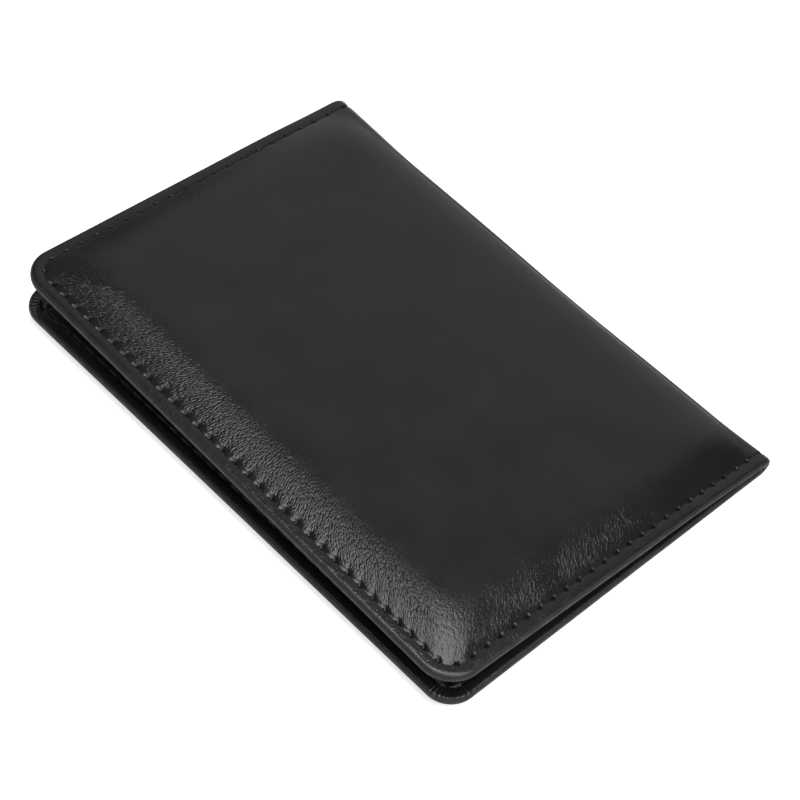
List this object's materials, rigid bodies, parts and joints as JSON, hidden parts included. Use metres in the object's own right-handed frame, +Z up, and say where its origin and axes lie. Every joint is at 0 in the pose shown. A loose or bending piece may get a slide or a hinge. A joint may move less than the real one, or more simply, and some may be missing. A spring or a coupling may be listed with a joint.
{
  "type": "travel document cover",
  "caption": "Padded leather booklet cover with turned, stitched edges, two inner sleeves for a passport and a soft spine that folds open flat.",
  "frame": {"origin": "middle of the surface that the closed cover lies on", "axes": "+Z up, +X from the spine to the fore edge, +Y along the spine from tail to head"},
  "size_m": [0.0961, 0.14, 0.0155],
  "materials": {
    "leather": "satin",
    "sleeve": "satin",
    "lining": "matte",
    "foam": "matte",
    "board": "matte",
    "thread": "satin"
  },
  "bodies": {
    "back_cover": {"back_skin": "leather", "back_foam": "foam", "back_board": "board", "back_lining": "lining", "back_sleeve": "sleeve", "back_needle_thread": "thread", "back_bobbin_thread": "thread"},
    "spine": {"spine_skin": "leather", "spine_lining": "lining", "spine_needle_thread_head": "thread", "spine_needle_thread_tail": "thread", "spine_bobbin_thread_head": "thread", "spine_bobbin_thread_tail": "thread"},
    "front_cover": {"front_skin": "leather", "front_foam": "foam", "front_board": "board", "front_lining": "lining", "front_sleeve": "sleeve", "front_needle_thread": "thread", "front_bobbin_thread": "thread"}
  },
  "joints": [
    {"name": "back_fold", "type": "hinge", "parent": "back_cover", "child": "spine", "pos_m": [-0.04716, 0, 0.00298], "axis": [0, -1, 0], "range_deg": [0, 87.8]},
    {"name": "front_fold", "type": "hinge", "parent": "spine", "child": "front_cover", "pos_m": [-0.04728, 0, 0.00619], "axis": [0, -1, 0], "range_deg": [0, 87.8]}
  ],
  "couplings": [
    {"joint": "front_fold", "follows": "back_fold", "ratio": 1}
  ]
}
